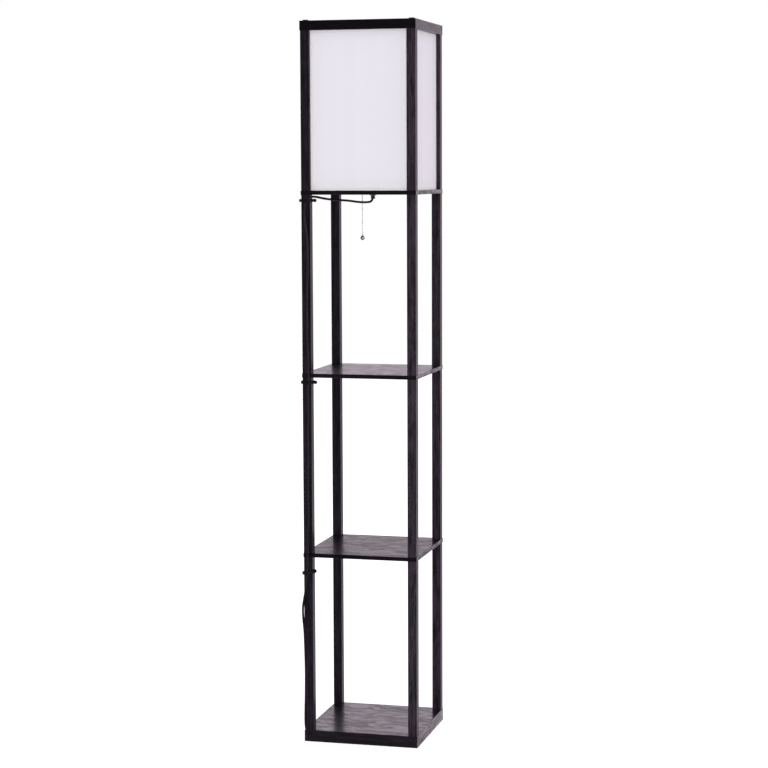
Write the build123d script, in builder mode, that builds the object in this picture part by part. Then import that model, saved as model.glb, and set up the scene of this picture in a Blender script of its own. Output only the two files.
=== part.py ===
"""A shelf floor lamp: four square posts, a base and three boards, with a box shade on top.

Millimetres. The origin is the middle of the base's underside, +Z is up, and the front is -Y.
The lamp is a stack. Each board lies between two tiers of posts, and studs through the board
hold the post ends together. A pull-chain lampholder stands on the top board, inside four
white panels that slide in grooves in the posts, and the mains cord runs down the front left post.
"""

import math
import os

from build123d import *

os.makedirs("parts", exist_ok=True)

# Carcass
width = 260.0
base_thickness = 26.0
board_thickness = 9.0
post_side = 20.0
post_inset = 1.0
post_length = 393.0
shade_post_length = 347.0
top_rail_height = 21.0
top_rail_width = 20.0
wood_edge_radius = 0.7

# Studs and bolts
stud_radius = 3.0
stud_length = 42.0
stud_clearance = 0.1
bolt_head_radius = 6.5
bolt_head_height = 2.2
bolt_length = 38.0
hex_socket_radius = 2.3
hex_socket_depth = 1.4
base_bolt_head_radius = 6.0
base_bolt_head_height = 3.5
base_bolt_recess = 0.6

# Shade panels
panel_thickness = 2.0
groove_clearance = 0.2
groove_depth = 5.0
panel_engagement = 4.5

# Lampholder, measured up from the top of the lamp board
nipple_radius = 5.0
nipple_bore_radius = 3.6
nipple_below_board = 9.0
nipple_above_board = 8.0
nut_across_flats = 14.0
nut_thickness = 3.0
bushing_flange_radius = 5.6
bushing_flange_thickness = 1.2
bushing_depth = 7.0
holder_radius = 18.0
holder_wall = 1.0
holder_bead_radius = 1.1
cap_height = 26.0
shell_height = 34.0
block_height = 26.0
block_clearance = 0.2
pin_radius = 1.0
pin_clearance = 0.06
pin_length = 16.0
screw_shell_bore_radius = 13.35
screw_shell_wall = 0.6
screw_shell_height = 22.0
contact_length = 16.0
contact_width = 5.0
contact_thickness = 0.5
contact_rise = 2.4

# Pull lever
lever_pivot_x = -8.0
lever_pivot_rise = 20.0
lever_thickness = 3.0
lever_boss_radius = 3.0
lever_eye_radius = 2.0
lever_lift_angle = 12.0
lever_slot_gap = 0.4
lever_slot_half_height = 6.0

# Pull chain
chain_x = -24.6
grommet_bore_radius = 3.0
grommet_radius = 4.9
grommet_flange_radius = 6.0
grommet_flange_thickness = 1.5
bead_radius = 1.3
bead_pitch = 3.7
link_radius = 0.45
joint_gap = 0.6
top_bead_count = 8
drop_bead_count = 12
tail_bead_count = 11
swing_below_board = 5.8
clasp_cheek_thickness = 1.0
clasp_cheek_gap = 0.2
clasp_half_width = 2.0
clasp_rise = 2.0
clasp_drop = 5.0
clasp_bridge = 1.5
ball_radius = 5.0
ball_neck_radius = 1.9
ball_neck_rise = 3.1
ball_neck_gap = 0.3

# Bulb
bulb_cap_radius = 13.05
bulb_cap_wall = 0.5
bulb_cap_height = 21.0
bulb_tip_radius = 4.2
bulb_tip_height = 1.2
bulb_tip_gap = 0.3
bulb_cone_height = 3.0
bulb_length = 107.0
bulb_glass_radius = 30.0
bulb_neck_radius = 12.6
bulb_glass_wall = 0.8

# Mains cord and plug
cord_radius = 2.5
cord_bend_share = 0.45
tie_heights = {"upper": 1210.6, "middle": 810.0, "lower": 384.0}
tie_tilts = {"upper": 0.0, "middle": 0.0, "lower": -9.0}
tie_slacks = {"upper": 1.4, "middle": 0.8, "lower": 1.1}
tie_head_angles = {"upper": 4.0, "middle": -6.0, "lower": 96.0}
tie_strap = 1.3
tie_width = 6.0
tie_corner_gap = 0.5
tie_cord_gap = 0.7
tie_head = (4.6, 6.4, 7.0)
relief_length = 26.0
relief_end_radius = 3.3
relief_plug_radius = 5.6
plug_length = 31.0
plug_width = 25.0
plug_height = 14.0
plug_corner_radius = 5.0
blade_spacing = 12.7
blade_length = 17.5
blade_height = 6.3
blade_thickness = 1.5
blade_root = 4.0

# The cord's route, as points chosen along it: out of the nipple, across under the lamp board to
# the front left post, down its front face inside the ties, round its left face below the last
# tie, down to the floor, and along the left side and the back of the base to the plug.
cord_route = [
    (0.0, 0.0, 1221.4),
    (0.0, 0.0, 1212.9),
    (-3.6, -4.2, 1205.8),
    (-12.5, -14.5, 1204.8),
    (-25.5, -29.5, 1205.5),
    (-45.0, -52.0, 1209.6),
    (-66.0, -76.5, 1210.9),
    (-86.0, -101.0, 1214.5),
    (-98.0, -118.0, 1218.6),
    (-104.6, -131.0, 1219.0),
    (-111.4, -135.2, 1214.6),
    (-115.8, -134.0, 1206.4),
    (-119.0, -133.3, 1194.6),
    (-121.2, -133.2, 1178.0),
    (-118.2, -133.2, 1158.5),
    (-114.6, -133.2, 1134.0),
    (-113.4, -133.2, 1102.0),
    (-113.9, -133.2, 1058.0),
    (-115.6, -133.2, 1004.0),
    (-115.2, -133.2, 950.0),
    (-116.4, -133.2, 905.0),
    (-113.2, -133.2, 866.0),
    (-114.4, -133.2, 838.0),
    (-112.6, -133.2, 818.0),
    (-115.4, -133.2, 794.0),
    (-114.2, -133.2, 752.0),
    (-116.2, -133.2, 702.0),
    (-115.0, -133.2, 642.0),
    (-116.6, -133.2, 580.0),
    (-115.4, -133.2, 518.0),
    (-116.8, -133.2, 462.0),
    (-118.6, -133.2, 418.0),
    (-119.2, -133.3, 388.0),
    (-121.8, -133.1, 360.0),
    (-126.6, -132.9, 332.0),
    (-131.7, -131.8, 306.0),
    (-132.7, -125.2, 278.0),
    (-132.4, -116.5, 250.0),
    (-133.2, -109.8, 208.0),
    (-132.8, -107.0, 156.0),
    (-133.8, -105.8, 102.0),
    (-135.2, -105.4, 58.0),
    (-136.2, -102.0, 28.0),
    (-136.4, -90.0, 8.4),
    (-136.4, -72.0, 2.6),
    (-138.6, -44.0, 2.6),
    (-136.6, -6.0, 2.6),
    (-139.4, 34.0, 2.6),
    (-137.0, 76.0, 2.6),
    (-140.0, 108.0, 2.6),
    (-137.5, 131.5, 2.6),
    (-122.0, 146.5, 2.6),
    (-98.0, 150.2, 2.6),
    (-64.0, 146.6, 2.6),
    (-38.0, 148.6, 2.9),
    (-23.0, 148.4, 5.2),
    (-11.0, 148.4, 7.0),
    (0.0, 148.4, 7.0),
]
# Where the cord's centre enters and leaves each tie, from the post's own centre.
tie_cord_places = {
    "upper": [(7.4, -16.2), (3.6, -15.3)],
    "middle": [(5.2, -14.2)],
    "lower": [(-0.5, -14.4)],
}

# Heights and places that follow from the sizes above
half = width / 2
tier_height = post_length + board_thickness
shelf_lower_z = base_thickness + post_length
shelf_middle_z = shelf_lower_z + tier_height
lamp_board_z = shelf_middle_z + tier_height
lamp_board_top = lamp_board_z + board_thickness
top_rail_z = lamp_board_top + shade_post_length
total_height = top_rail_z + top_rail_height
post_centre = half - post_inset - post_side / 2
corners = {
    "front_left": (-post_centre, -post_centre),
    "front_right": (post_centre, -post_centre),
    "back_left": (-post_centre, post_centre),
    "back_right": (post_centre, post_centre),
}
corner_points = list(corners.values())
stud_bore_radius = stud_radius + stud_clearance
stud_bore_depth = (stud_length - board_thickness) / 2 + 1.5


def finish(node, name):
    """Labels a finished piece and writes its file."""
    node.part.label = name
    export_step(node.part, "parts/" + name + ".step")


# Base: one thick square board that the lowest posts are bolted to from below.
base_bolt_hole_depth = base_bolt_recess + base_bolt_head_height
with BuildPart() as base_board:
    with BuildSketch():
        Rectangle(width, width)
    extrude(amount=base_thickness)
    fillet(base_board.edges().filter_by(Axis.Z), wood_edge_radius)
    fillet(base_board.faces().sort_by(Axis.Z)[-1].edges(), wood_edge_radius)
    with Locations(*[Location((x, y, 0), (180, 0, 0)) for x, y in corner_points]):
        CounterBoreHole(
            radius=stud_bore_radius,
            counter_bore_radius=base_bolt_head_radius + stud_clearance,
            counter_bore_depth=base_bolt_hole_depth,
            depth=base_thickness,
        )
finish(base_board, "base_board")


# Shelves: plain boards with a stud hole in each corner.
def board(name, bottom_z, extra_holes):
    """A square board with eased edges, its four stud holes, and any (x, y, radius) holes."""
    with BuildPart() as plate:
        with BuildSketch(Plane.XY.offset(bottom_z)):
            Rectangle(width, width)
        extrude(amount=board_thickness)
        fillet(plate.edges().filter_by(Axis.Z), wood_edge_radius)
        fillet(plate.faces().sort_by(Axis.Z)[-1].edges(), wood_edge_radius)
        fillet(plate.faces().sort_by(Axis.Z)[0].edges(), wood_edge_radius)
        with BuildSketch(Plane.XY.offset(bottom_z)):
            with Locations(*corner_points):
                Circle(stud_bore_radius)
            for x, y, radius in extra_holes:
                with Locations((x, y)):
                    Circle(radius)
        extrude(amount=board_thickness, mode=Mode.SUBTRACT)
    finish(plate, name)


nipple_hole = (0.0, 0.0, nipple_radius + stud_clearance)
grommet_hole = (chain_x, 0.0, grommet_radius + stud_clearance)
board("shelf_lower", shelf_lower_z, [])
board("shelf_middle", shelf_middle_z, [])
board("lamp_board", lamp_board_z, [nipple_hole, grommet_hole])


# Posts: square sticks with a stud bore in each end; the shade's posts also have panel grooves.
def post(name, centre, bottom_z, length, grooved):
    """A square post with eased long edges, bored at both ends."""
    x, y = centre
    with BuildPart() as stick:
        with BuildSketch(Plane.XY.offset(bottom_z)):
            with Locations(centre):
                Rectangle(post_side, post_side)
        extrude(amount=length)
        fillet(stick.edges().filter_by(Axis.Z), wood_edge_radius)
        if grooved:
            inward_x, inward_y = math.copysign(1, -x), math.copysign(1, -y)
            groove_width = panel_thickness + 2 * groove_clearance
            groove_reach = post_side / 2 - groove_depth / 2
            with BuildSketch(Plane.XY.offset(bottom_z)):
                with Locations((x + inward_x * groove_reach, y)):
                    Rectangle(groove_depth, groove_width)
                with Locations((x, y + inward_y * groove_reach)):
                    Rectangle(groove_width, groove_depth)
            extrude(amount=length, mode=Mode.SUBTRACT)
        with BuildSketch(Plane.XY.offset(bottom_z)):
            with Locations(centre):
                Circle(stud_bore_radius)
        extrude(amount=stud_bore_depth, mode=Mode.SUBTRACT)
        with BuildSketch(Plane.XY.offset(bottom_z + length)):
            with Locations(centre):
                Circle(stud_bore_radius)
        extrude(amount=-stud_bore_depth, mode=Mode.SUBTRACT)
    finish(stick, name)


tiers = {
    "post_lower": base_thickness,
    "post_middle": shelf_lower_z + board_thickness,
    "post_upper": shelf_middle_z + board_thickness,
}
for corner, centre in corners.items():
    for tier, bottom_z in tiers.items():
        post(tier + "_" + corner, centre, bottom_z, post_length, False)
    post("shade_post_" + corner, centre, lamp_board_top, shade_post_length, True)


# Top frame: four rails mitred into a square, grooved below for the panels' top edges.
def top_rail(name, turn):
    """One rail, made at the front and turned about the lamp's axis."""
    plane = Plane.XY.rotated((0, 0, turn)).offset(top_rail_z)
    inner = half - top_rail_width
    groove_length = 2 * (post_centre - post_side / 2 + groove_depth)
    with BuildPart() as rail:
        with BuildSketch(plane):
            with BuildLine():
                Polyline((-half, -half), (half, -half), (inner, -inner), (-inner, -inner), close=True)
            make_face()
        extrude(amount=top_rail_height)
        with BuildSketch(plane):
            with Locations((0, -post_centre)):
                Rectangle(groove_length, panel_thickness + 2 * groove_clearance)
        extrude(amount=groove_depth, mode=Mode.SUBTRACT)
        with BuildSketch(plane):
            with Locations((-post_centre, -post_centre), (post_centre, -post_centre)):
                Circle(stud_bore_radius)
        extrude(amount=top_rail_height, mode=Mode.SUBTRACT)
    finish(rail, name)


for side, turn in {"front": 0, "right": 90, "back": 180, "left": 270}.items():
    top_rail("top_rail_" + side, turn)


# Shade panels: stiff white sheets that stand on the lamp board in the posts' grooves.
def shade_panel(name, turn):
    """One panel, made at the front and turned about the lamp's axis."""
    groove_bottom = post_centre - post_side / 2 + groove_depth
    panel_width = 2 * (groove_bottom - (groove_depth - panel_engagement))
    with BuildPart() as panel:
        with BuildSketch(Plane.XY.rotated((0, 0, turn)).offset(lamp_board_top)):
            with Locations((0, -post_centre)):
                Rectangle(panel_width, panel_thickness)
        extrude(amount=shade_post_length + panel_engagement)
    finish(panel, name)


for side, turn in {"front": 0, "right": 90, "back": 180, "left": 270}.items():
    shade_panel("shade_panel_" + side, turn)


# Studs: threaded rods that screw into the ends of the posts above and below a board.
def studs(name, middle_z):
    """The four studs through one board, each a separate rod with eased ends."""
    with BuildPart() as rods:
        with BuildSketch(Plane.XY.offset(middle_z - stud_length / 2)):
            with Locations(*corner_points):
                Circle(stud_radius)
        extrude(amount=stud_length)
        chamfer(rods.edges().filter_by(GeomType.CIRCLE), stud_radius / 6)
    finish(rods, name)


studs("studs_shelf_lower", shelf_lower_z + board_thickness / 2)
studs("studs_shelf_middle", shelf_middle_z + board_thickness / 2)
studs("studs_lamp_board", lamp_board_z + board_thickness / 2)

# Base bolts: flat-headed bolts, sunk into the underside of the base.
with BuildPart() as base_bolts:
    with BuildSketch(Plane.XY.offset(base_bolt_recess)):
        with Locations(*corner_points):
            Circle(base_bolt_head_radius)
    extrude(amount=base_bolt_head_height)
    with BuildSketch(Plane.XY.offset(base_bolt_recess)):
        with Locations(*corner_points):
            Circle(stud_radius)
    extrude(amount=base_thickness - base_bolt_recess + stud_bore_depth - 2)
    with BuildSketch(Plane.XY.offset(base_bolt_recess)):
        with Locations(*corner_points):
            RegularPolygon(hex_socket_radius, 6)
    extrude(amount=hex_socket_depth, mode=Mode.SUBTRACT)
finish(base_bolts, "base_bolts")

# Top bolts: low round-headed bolts with a hexagon socket, down through the frame's corners.
with BuildPart() as top_bolts:
    with BuildSketch(Plane.XY.offset(total_height)):
        with Locations(*corner_points):
            Circle(bolt_head_radius)
    extrude(amount=bolt_head_height)
    fillet(top_bolts.faces().group_by(Axis.Z)[-1].edges(), bolt_head_height * 0.6)
    with BuildSketch(Plane.XY.offset(total_height + bolt_head_height)):
        with Locations(*corner_points):
            RegularPolygon(hex_socket_radius, 6)
    extrude(amount=-hex_socket_depth, mode=Mode.SUBTRACT)
    with BuildSketch(Plane.XY.offset(total_height)):
        with Locations(*corner_points):
            Circle(stud_radius)
    extrude(amount=-bolt_length)
finish(top_bolts, "top_bolts")

# Nipple: the threaded tube that clamps the lampholder to its board and lets the cord through.
nipple_bottom = lamp_board_z - nipple_below_board
nipple_top = lamp_board_top + nipple_above_board
with BuildPart() as threaded_nipple:
    with BuildSketch(Plane.XY.offset(nipple_bottom)):
        Circle(nipple_radius)
        Circle(nipple_bore_radius, mode=Mode.SUBTRACT)
    extrude(amount=nipple_top - nipple_bottom)
    outer_ends = threaded_nipple.edges().filter_by(GeomType.CIRCLE).sort_by(SortBy.RADIUS)[-2:]
    chamfer(outer_ends, (nipple_radius - nipple_bore_radius) / 3)
finish(threaded_nipple, "threaded_nipple")

# Nipple nuts: one below the board and one inside the lampholder's cap.
nut_bore_radius = nipple_radius + stud_clearance
with BuildPart() as nipple_nuts:
    for bottom_z in (lamp_board_z - nut_thickness, lamp_board_top + holder_wall):
        with BuildSketch(Plane.XY.offset(bottom_z)):
            RegularPolygon(nut_across_flats / 2, 6, major_radius=False)
            Circle(nut_bore_radius, mode=Mode.SUBTRACT)
        extrude(amount=nut_thickness)
finish(nipple_nuts, "nipple_nuts")

# Cord bushing: a plastic collar pressed into the mouth of the nipple, flared to save the cord.
bushing_bottom = nipple_bottom - bushing_flange_thickness
bushing_top = nipple_bottom + bushing_depth
bushing_body_radius = nipple_bore_radius - stud_clearance / 2
with BuildPart() as cord_bushing:
    with BuildSketch(Plane.XZ):
        with BuildLine():
            Polyline(
                (cord_radius + stud_clearance, bushing_top),
                (bushing_body_radius, bushing_top),
                (bushing_body_radius, nipple_bottom),
                (bushing_flange_radius, nipple_bottom),
                (bushing_flange_radius - bushing_flange_thickness / 2, bushing_bottom),
                (bushing_body_radius, bushing_bottom),
                (cord_radius + stud_clearance, nipple_bottom + bushing_depth * 0.6),
                close=True,
            )
        make_face()
    revolve(axis=Axis.Z)
finish(cord_bushing, "cord_bushing")

# Holder cap: the metal cup that stands on the board, with a slot for the pull lever.
lever_pivot_z = lamp_board_top + lever_pivot_rise
cap_top = lamp_board_top + cap_height
slot_bottom = lever_pivot_z - lever_slot_half_height
slot_width = lever_thickness + 2 * lever_slot_gap
with BuildPart() as holder_cap:
    with BuildSketch(Plane.XY.offset(lamp_board_top)):
        Circle(holder_radius)
    extrude(amount=cap_height)
    fillet(holder_cap.faces().sort_by(Axis.Z)[0].edges(), holder_wall)
    with BuildSketch(Plane.XY.offset(lamp_board_top + holder_wall)):
        Circle(holder_radius - holder_wall)
    extrude(amount=cap_height, mode=Mode.SUBTRACT)
    with BuildSketch(Plane.XY.offset(lamp_board_top)):
        Circle(nut_bore_radius)
    extrude(amount=holder_wall, mode=Mode.SUBTRACT)
    with BuildSketch(Plane.XY.offset(slot_bottom)):
        with Locations((-holder_radius, 0)):
            Rectangle(4 * holder_wall, slot_width + 2)
    extrude(amount=cap_top - slot_bottom, mode=Mode.SUBTRACT)
finish(holder_cap, "holder_cap")

# Holder shell: the metal sleeve round the bulb's screw, with a rolled bead at its mouth.
shell_top = cap_top + shell_height
with BuildPart() as holder_shell:
    with BuildSketch(Plane.XZ):
        with Locations((holder_radius - holder_wall / 2, (cap_top + shell_top) / 2)):
            Rectangle(holder_wall, shell_height)
        with Locations((holder_radius, shell_top - holder_bead_radius)):
            Circle(holder_bead_radius)
        with Locations((holder_radius, cap_top + holder_bead_radius)):
            Circle(holder_bead_radius)
    revolve(axis=Axis.Z)
finish(holder_shell, "holder_shell")

# Switch block: the moulded insulator that holds the switch, with the lever's slot and pin hole.
block_radius = holder_radius - holder_wall - block_clearance
block_top = nipple_top + block_height
slot_inner_x = lever_pivot_x + lever_boss_radius + 2 * lever_slot_gap
with BuildPart() as switch_block:
    with BuildSketch(Plane.XY.offset(nipple_top)):
        Circle(block_radius)
    extrude(amount=block_height)
    with BuildSketch(Plane.XY.offset(slot_bottom)):
        with Locations(((slot_inner_x - holder_radius) / 2, 0)):
            Rectangle(slot_inner_x + holder_radius, slot_width)
    extrude(amount=2 * lever_slot_half_height, mode=Mode.SUBTRACT)
    with BuildSketch(Plane.XZ.offset(-pin_length / 2)):
        with Locations((lever_pivot_x, lever_pivot_z)):
            Circle(pin_radius + pin_clearance / 2)
    extrude(amount=pin_length, mode=Mode.SUBTRACT)
finish(switch_block, "switch_block")

# Lever pin: the steel pin that the lever turns on, across the slot in the block.
with BuildPart() as lever_pin:
    with BuildSketch(Plane.XZ.offset(-pin_length / 2)):
        with Locations((lever_pivot_x, lever_pivot_z)):
            Circle(pin_radius)
    extrude(amount=pin_length)
finish(lever_pin, "lever_pin")

# Pull lever: a flat brass arm from the pin to the chain; it rests tilted up and is pulled down.
lever_reach = lever_pivot_x - chain_x
eye_z = lever_pivot_z + lever_reach * math.tan(math.radians(lever_lift_angle))
with BuildPart() as pull_lever:
    with BuildSketch(Plane.XZ.offset(-lever_thickness / 2)):
        with Locations((lever_pivot_x, lever_pivot_z)):
            Circle(lever_boss_radius)
        with Locations((chain_x, eye_z)):
            Circle(lever_eye_radius)
        make_hull()
        with Locations((lever_pivot_x, lever_pivot_z), (chain_x, eye_z)):
            Circle(pin_radius + pin_clearance, mode=Mode.SUBTRACT)
    extrude(amount=lever_thickness)
finish(pull_lever, "pull_lever")

# Screw shell: the threaded metal cup that the bulb screws into, on top of the block.
screw_shell_radius = screw_shell_bore_radius + screw_shell_wall
with BuildPart() as screw_shell:
    with BuildSketch(Plane.XY.offset(block_top)):
        Circle(screw_shell_radius)
        Circle(contact_length / 2 + contact_thickness, mode=Mode.SUBTRACT)
    extrude(amount=screw_shell_wall)
    with BuildSketch(Plane.XY.offset(block_top)):
        Circle(screw_shell_radius)
        Circle(screw_shell_bore_radius, mode=Mode.SUBTRACT)
    extrude(amount=screw_shell_height)
finish(screw_shell, "screw_shell")

# Centre contact: a bent brass leaf in the middle of the cup, under the bulb's tip.
contact_top = block_top + contact_rise
foot_length = contact_length / 4
with BuildPart() as centre_contact:
    with BuildSketch(Plane.XZ.offset(-contact_width / 2)):
        with BuildLine():
            Polyline(
                (-contact_length / 2, block_top),
                (-contact_length / 2 + foot_length, block_top),
                (contact_length / 4, contact_top - contact_thickness),
                (contact_length / 2, contact_top - contact_thickness),
                (contact_length / 2, contact_top),
                (contact_length / 4, contact_top),
                (-contact_length / 2 + foot_length, block_top + contact_thickness),
                (-contact_length / 2, block_top + contact_thickness),
                close=True,
            )
        make_face()
    extrude(amount=contact_width)
finish(centre_contact, "centre_contact")

# Chain grommet: a plastic eyelet in the board, where the chain comes through.
with BuildPart() as chain_grommet:
    with BuildSketch(Plane.XY.offset(lamp_board_z - grommet_flange_thickness)):
        with Locations((chain_x, 0)):
            Circle(grommet_flange_radius)
    extrude(amount=grommet_flange_thickness)
    fillet(chain_grommet.faces().sort_by(Axis.Z)[0].edges(), grommet_flange_thickness / 2)
    with BuildSketch(Plane.XY.offset(lamp_board_z)):
        with Locations((chain_x, 0)):
            Circle(grommet_radius)
    extrude(amount=board_thickness)
    with BuildSketch(Plane.XY.offset(lamp_board_z - grommet_flange_thickness)):
        with Locations((chain_x, 0)):
            Circle(grommet_bore_radius)
    extrude(amount=grommet_flange_thickness + board_thickness, mode=Mode.SUBTRACT)
finish(chain_grommet, "chain_grommet")


# Pull chain: beads on a wire, in three stretches that swing on each other.
def beads(top_centre_z, count, wire_top, wire_bottom):
    """The half profile of a stretch of bead chain, on the chain's own axis, in the XZ plane."""
    with Locations((chain_x + link_radius / 2, (wire_top + wire_bottom) / 2)):
        Rectangle(link_radius, wire_top - wire_bottom)
    for number in range(count):
        with Locations((chain_x, top_centre_z - number * bead_pitch)):
            Circle(bead_radius)
    chain_height = wire_top - wire_bottom + 4 * bead_radius
    with Locations((chain_x - bead_radius, (wire_top + wire_bottom) / 2)):
        Rectangle(2 * bead_radius, chain_height, mode=Mode.SUBTRACT)


chain_axis = Axis((chain_x, 0, 0), (0, 0, 1))
half_joint = joint_gap / 2 + bead_radius
swing_z = lamp_board_z - swing_below_board
tail_z = swing_z - 2 * half_joint - (drop_bead_count - 1) * bead_pitch
clasp_bottom = eye_z - clasp_drop - clasp_bridge
top_bead_z = swing_z + half_joint + (top_bead_count - 1) * bead_pitch
clasp_inner = lever_thickness / 2 + clasp_cheek_gap
clasp_outer = clasp_inner + clasp_cheek_thickness
with BuildPart() as chain_top:
    with BuildSketch(Plane.XZ):
        beads(top_bead_z, top_bead_count, clasp_bottom, swing_z + half_joint)
    revolve(axis=chain_axis)
    with BuildSketch(Plane.XY.offset(clasp_bottom)):
        with Locations((chain_x, 0)):
            Rectangle(2 * clasp_half_width, 2 * clasp_outer)
    extrude(amount=clasp_bridge)
    with BuildSketch(Plane.XY.offset(clasp_bottom + clasp_bridge)):
        with Locations((chain_x, clasp_inner + clasp_cheek_thickness / 2)):
            Rectangle(2 * clasp_half_width, clasp_cheek_thickness)
        with Locations((chain_x, -clasp_inner - clasp_cheek_thickness / 2)):
            Rectangle(2 * clasp_half_width, clasp_cheek_thickness)
    extrude(amount=clasp_drop + clasp_rise)
    with BuildSketch(Plane.XZ.offset(-clasp_outer)):
        with Locations((chain_x, eye_z)):
            Circle(pin_radius)
    extrude(amount=2 * clasp_outer)
finish(chain_top, "chain_top")

drop_bead_z = swing_z - half_joint
drop_bottom = tail_z + joint_gap / 2
with BuildPart() as chain_drop:
    with BuildSketch(Plane.XZ):
        beads(drop_bead_z, drop_bead_count, drop_bead_z, drop_bottom + bead_radius)
    revolve(axis=chain_axis)
finish(chain_drop, "chain_drop")

tail_bead_z = tail_z - half_joint
last_bead_z = tail_bead_z - (tail_bead_count - 1) * bead_pitch
ball_neck_top = last_bead_z - bead_radius - ball_neck_gap
ball_z = ball_neck_top - ball_neck_rise - ball_radius
with BuildPart() as chain_tail:
    with BuildSketch(Plane.XZ):
        beads(tail_bead_z, tail_bead_count, tail_bead_z, last_bead_z)
    revolve(axis=chain_axis)
finish(chain_tail, "chain_tail")

# Chain ball: the polished metal ball that the hand takes hold of.
with BuildPart() as chain_ball:
    with Locations((chain_x, 0, ball_z)):
        Sphere(ball_radius)
    with BuildSketch(Plane.XY.offset(ball_z)):
        with Locations((chain_x, 0)):
            Circle(ball_neck_radius)
    extrude(amount=ball_neck_top - ball_z)
finish(chain_ball, "chain_ball")

# Bulb: a pear-shaped glass on a screw cap, with its tip contact just above the centre contact.
tip_z = contact_top + bulb_tip_gap
cap_cone_z = tip_z + bulb_tip_height
bulb_cap_z = cap_cone_z + bulb_cone_height
bulb_cap_top = bulb_cap_z + bulb_cap_height
bulb_top = tip_z + bulb_length
bulb_centre_z = bulb_top - bulb_glass_radius
with BuildPart() as bulb_contact:
    with BuildSketch(Plane.XY.offset(tip_z)):
        Circle(bulb_tip_radius)
    extrude(amount=bulb_tip_height)
    fillet(bulb_contact.faces().sort_by(Axis.Z)[0].edges(), bulb_tip_height / 2)
finish(bulb_contact, "bulb_contact")

with BuildPart() as bulb_cap:
    with BuildSketch(Plane.XZ):
        with BuildLine():
            Polyline(
                (0, cap_cone_z),
                (bulb_tip_radius + bulb_tip_height, cap_cone_z),
                (bulb_cap_radius, bulb_cap_z),
                (bulb_cap_radius, bulb_cap_top),
                (bulb_cap_radius - bulb_cap_wall, bulb_cap_top),
                (bulb_cap_radius - bulb_cap_wall, bulb_cap_z + bulb_cap_wall),
                (bulb_tip_radius + bulb_tip_height, cap_cone_z + bulb_tip_height),
                (0, cap_cone_z + bulb_tip_height),
                close=True,
            )
        make_face()
    revolve(axis=Axis.Z)
finish(bulb_cap, "bulb_cap")

neck_radius = bulb_neck_radius - stud_clearance
shoulder_angle = math.radians(35)
shoulder_x = bulb_glass_radius * math.cos(shoulder_angle)
shoulder_z = bulb_centre_z - bulb_glass_radius * math.sin(shoulder_angle)
neck_z = bulb_cap_top - 2 * bulb_glass_wall
with BuildPart() as bulb_glass:
    with BuildSketch(Plane.XZ):
        with BuildLine():
            crown = CenterArc(
                (0, bulb_centre_z), bulb_glass_radius, -math.degrees(shoulder_angle),
                90 + math.degrees(shoulder_angle),
            )
            shoulder = TangentArc(
                (shoulder_x, shoulder_z), (neck_radius, bulb_cap_top),
                tangent=-(crown % 0),
            )
            Line((neck_radius, bulb_cap_top), (neck_radius, neck_z))
            Polyline((neck_radius, neck_z), (0, neck_z), (0, bulb_top))
        make_face()
    revolve(axis=Axis.Z)
    offset(amount=-bulb_glass_wall, openings=bulb_glass.faces().sort_by(Axis.Z)[0])
finish(bulb_glass, "bulb_glass")

# Mains cord: a round lead that follows its route in straight runs joined by large arcs.
runs = [Vector(*b) - Vector(*a) for a, b in zip(cord_route, cord_route[1:])]
cord_radii = []
for before, after in zip(runs, runs[1:]):
    half_turn = math.radians(before.get_angle(after) / 2)
    cord_radii.append(cord_bend_share * min(before.length, after.length) / math.tan(half_turn))
print("cord radii, mm:", [round(radius) for radius in cord_radii])
with BuildPart() as power_cord:
    with BuildLine() as cord_path:
        FilletPolyline(*cord_route, radius=cord_radii)
    with BuildSketch(Plane(origin=cord_route[0], z_dir=runs[0])):
        Circle(cord_radius)
    sweep()
cord_length = sum(edge.length for edge in cord_path.edges())
cord_volume = math.pi * cord_radius**2 * cord_length
print("cord length, mm:", round(cord_length, 1))
print("cord volume over section times length:", round(power_cord.part.volume / cord_volume, 5))
finish(power_cord, "power_cord")


# Cable ties: nylon loops, nearly round, that hang on the post's back corners and hold the cord to
# its front. Each has a locking head on its outside.
tie_corner = post_side / 2 - wood_edge_radius


def tie_outline(ring_radius, forward, cord_places, thickness):
    """The loop's outline: a ring in front of the post's centre, drawn out round the cord."""
    with Locations((0, -forward)):
        Circle(ring_radius + thickness)
    with Locations(*cord_places):
        Circle(cord_radius + tie_cord_gap + thickness)
    make_hull()


for level, height in tie_heights.items():
    ring_radius = tie_corner * math.sqrt(2) + wood_edge_radius + tie_slacks[level]
    corner_reach = ring_radius - wood_edge_radius - tie_corner_gap
    forward = math.sqrt(corner_reach**2 - tie_corner**2) - tie_corner
    tie_plane = Plane(
        origin=(-post_centre, -post_centre, height),
        x_dir=Vector(1, 0, 0).rotate(Axis.Y, tie_tilts[level]),
        z_dir=Vector(0, 0, 1).rotate(Axis.Y, tie_tilts[level]),
    )
    head_depth, head_length, head_height = tie_head
    head_radius = ring_radius + tie_strap / 2 + head_depth / 2
    with BuildPart() as cable_tie:
        with BuildSketch(tie_plane):
            tie_outline(ring_radius, forward, tie_cord_places[level], tie_strap)
        extrude(amount=tie_width / 2, both=True)
        with BuildSketch(tie_plane):
            with Locations((0, -forward)):
                with PolarLocations(head_radius, 1, start_angle=tie_head_angles[level]):
                    RectangleRounded(head_depth, head_length, tie_strap / 2)
        extrude(amount=head_height / 2, both=True)
        with BuildSketch(tie_plane):
            tie_outline(ring_radius, forward, tie_cord_places[level], 0)
        extrude(amount=head_height, both=True, mode=Mode.SUBTRACT)
    finish(cable_tie, "cable_tie_" + level)


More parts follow.
